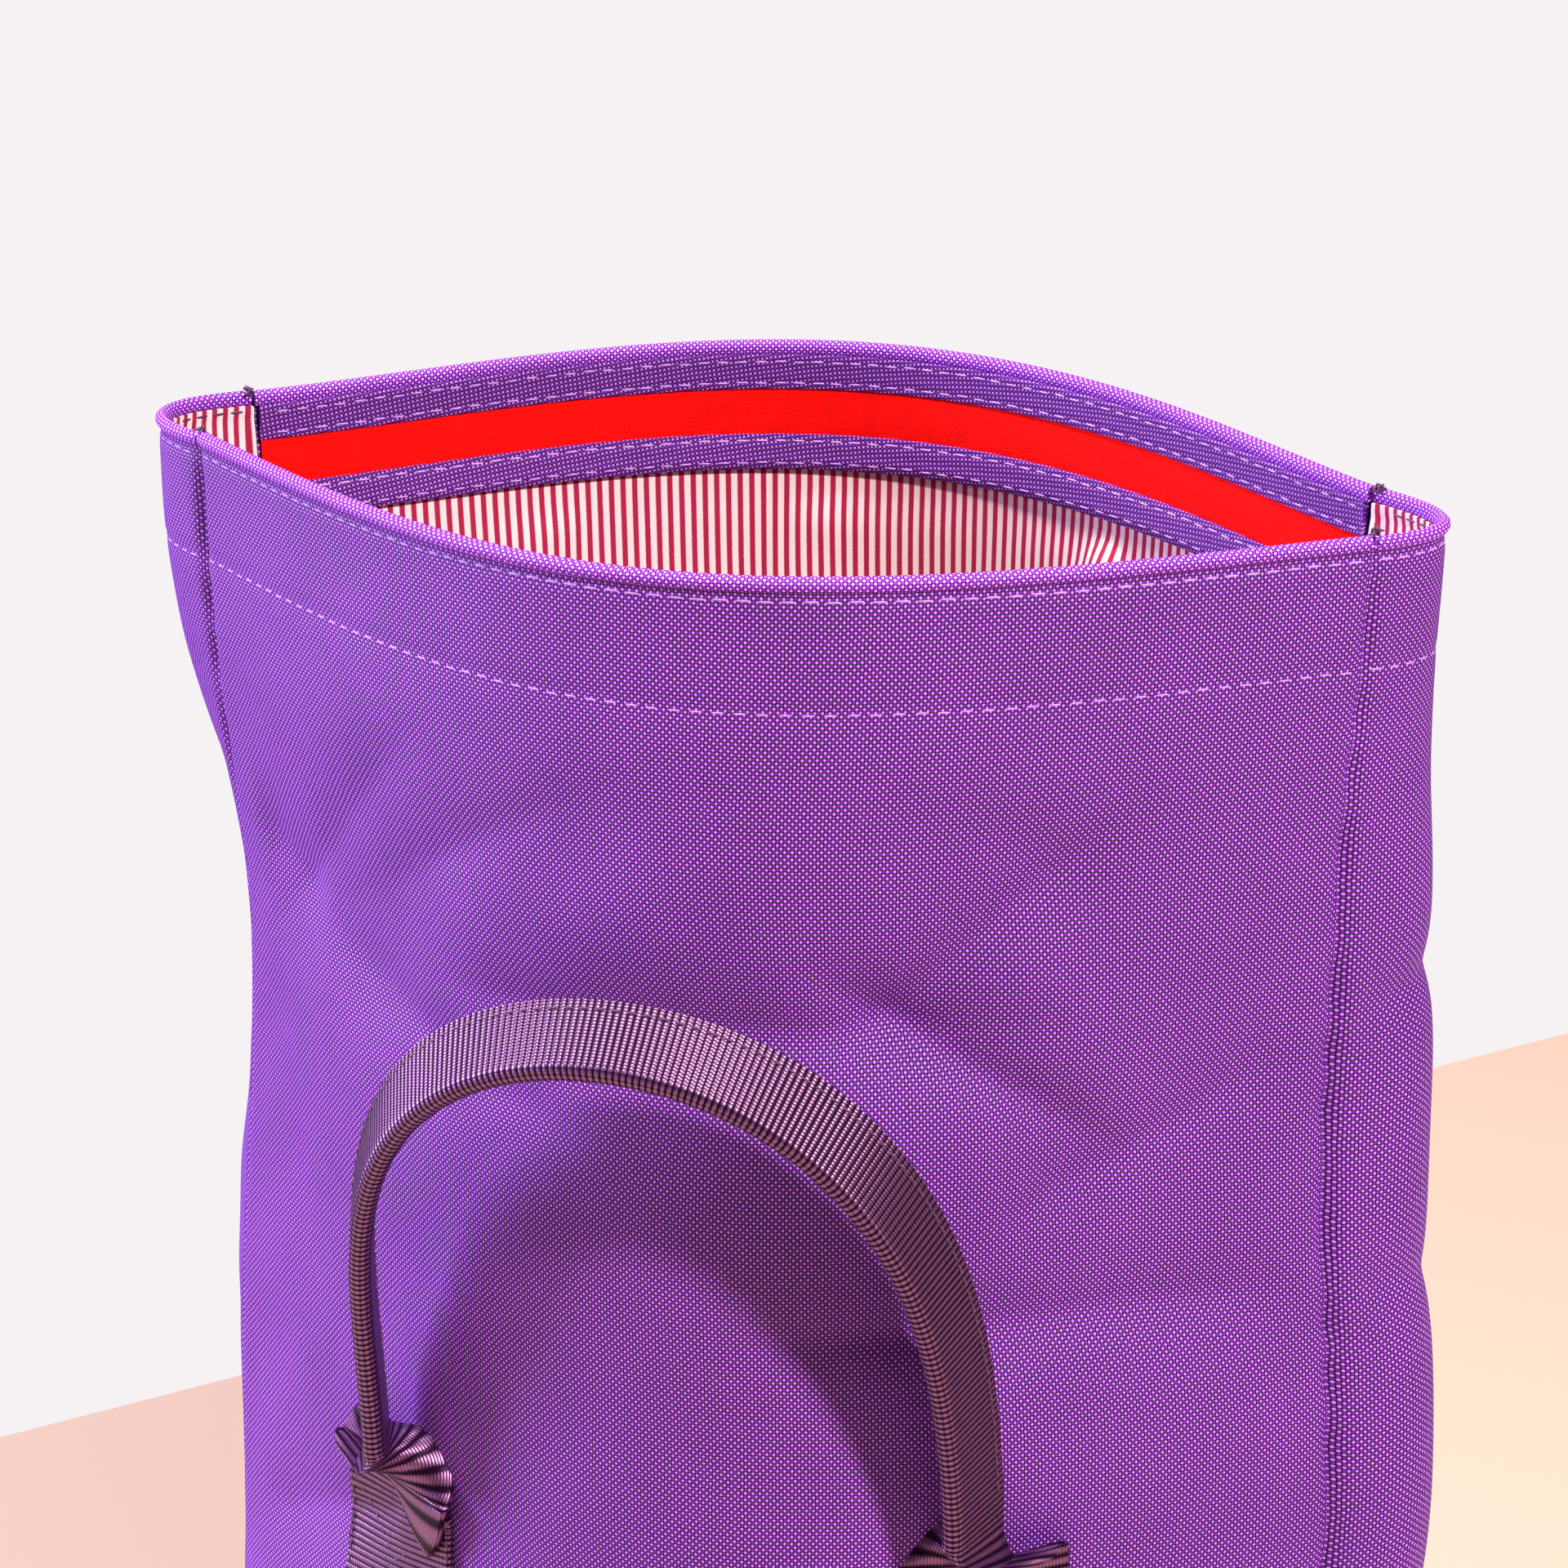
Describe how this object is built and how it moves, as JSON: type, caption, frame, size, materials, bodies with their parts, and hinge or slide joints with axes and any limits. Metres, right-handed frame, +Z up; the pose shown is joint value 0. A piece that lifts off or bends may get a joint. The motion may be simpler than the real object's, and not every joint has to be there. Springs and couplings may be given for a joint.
{
  "type": "roll-top fabric tote bag",
  "caption": "Soft lined fabric bag standing open, with a hook-and-loop roll-top mouth, side gussets and a swinging webbing handle on the front and on the back.",
  "frame": {"origin": "on the floor, under the middle of the bag", "axes": "+Z up, -Y towards the front panel, +X to the right seen from the front"},
  "size_m": [0.2892, 0.2426, 0.39],
  "materials": {
    "shell_cloth": "plain-weave polyester, soft sheen",
    "lining_cloth": "smooth cotton, narrow red and white stripes",
    "facing_cloth": "plain-weave polyester, soft sheen",
    "hook_tape": "fine moulded hooks on woven tape",
    "loop_tape": "brushed loop pile",
    "webbing": "ribbed heavy webbing",
    "base_board": "matt"
  },
  "bodies": {
    "bag": {"front_panel": "shell_cloth", "back_panel": "shell_cloth", "left_gusset": "shell_cloth", "right_gusset": "shell_cloth", "front_mouth_hem": "shell_cloth", "back_mouth_hem": "shell_cloth", "left_gusset_hem": "shell_cloth", "right_gusset_hem": "shell_cloth", "bottom_panel": "shell_cloth", "front_lining": "lining_cloth", "back_lining": "lining_cloth", "left_gusset_lining": "lining_cloth", "right_gusset_lining": "lining_cloth", "bottom_lining": "lining_cloth", "front_upper_facing": "facing_cloth", "back_upper_facing": "facing_cloth", "front_lower_facing": "facing_cloth", "back_lower_facing": "facing_cloth", "front_hook_tape": "hook_tape", "back_loop_tape": "loop_tape", "front_handle_left_end": "webbing", "front_handle_right_end": "webbing", "back_handle_left_end": "webbing", "back_handle_right_end": "webbing", "base_board": "base_board"},
    "front_handle": {"front_handle_grip": "webbing"},
    "back_handle": {"back_handle_grip": "webbing"}
  },
  "joints": [
    {"name": "front_handle_swing", "type": "hinge", "parent": "bag", "child": "front_handle", "pos_m": [0.004, -0.0829, 0.168], "axis": [1, 0, 0], "range_deg": [-5, 125]},
    {"name": "back_handle_swing", "type": "hinge", "parent": "bag", "child": "back_handle", "pos_m": [-0.004, 0.0829, 0.168], "axis": [-1, 0, 0], "range_deg": [-5, 125]}
  ]
}
